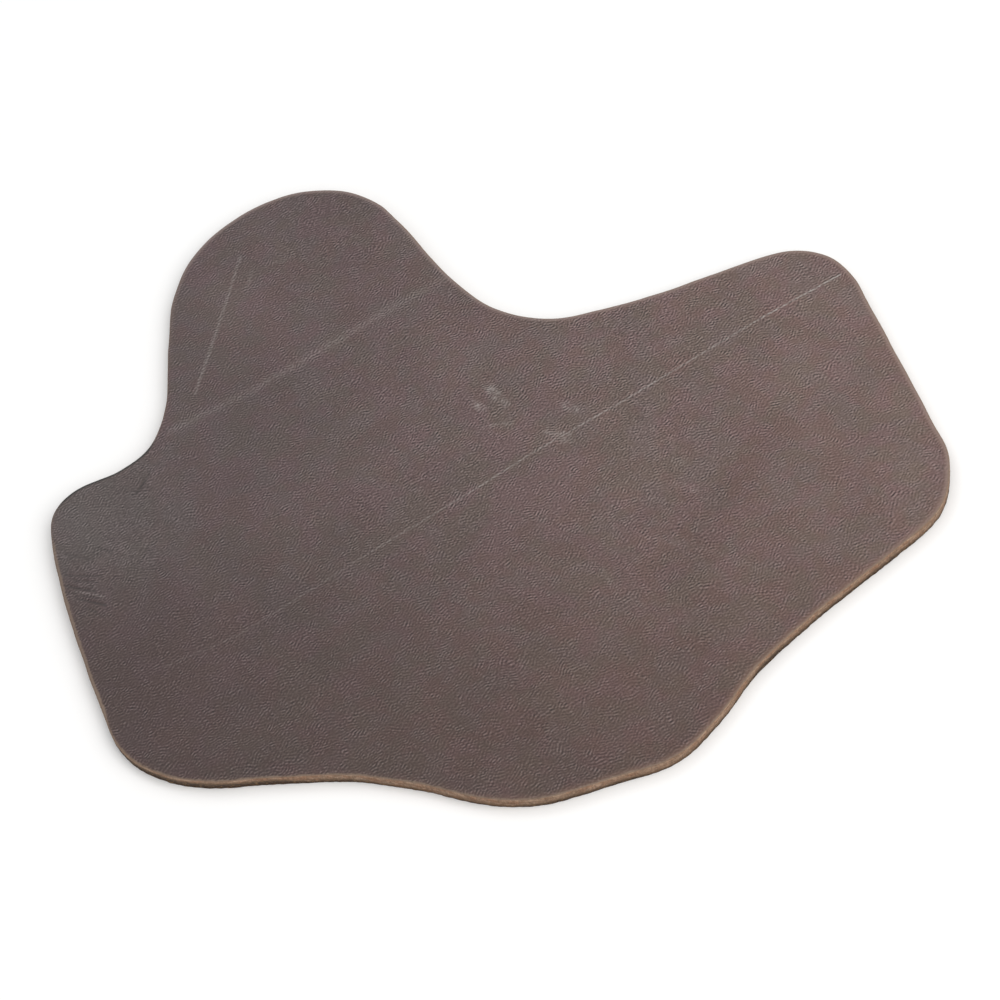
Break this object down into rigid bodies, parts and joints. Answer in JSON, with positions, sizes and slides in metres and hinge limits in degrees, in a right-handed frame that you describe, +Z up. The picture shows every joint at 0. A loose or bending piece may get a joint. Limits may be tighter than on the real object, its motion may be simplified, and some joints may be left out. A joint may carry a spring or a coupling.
{
  "type": "leather belly pad piece",
  "caption": "Flat free-form piece of thick dark brown leather with a fine pebbled grain and a raw cut edge, rounded lobes and shallow bays, for use as a belly pad or as padding stock.",
  "frame": {"origin": "middle of the outline's box, on the underside that the piece lies on", "axes": "+X along the length towards the right corner, +Y along the width towards the top lobe, +Z up out of the grain side"},
  "size_m": [0.341, 0.279, 0.0055],
  "materials": {
    "grain": "dark brown dyed grain, fine pebbled ridges, dull satin",
    "cut_edge": "tan raw cut fibre, matt",
    "flesh": "dark brown rough suede, matt"
  },
  "bodies": {
    "root": {"grain_layer": "grain", "fibre_core": "cut_edge", "flesh_layer": "flesh"}
  },
  "joints": []
}
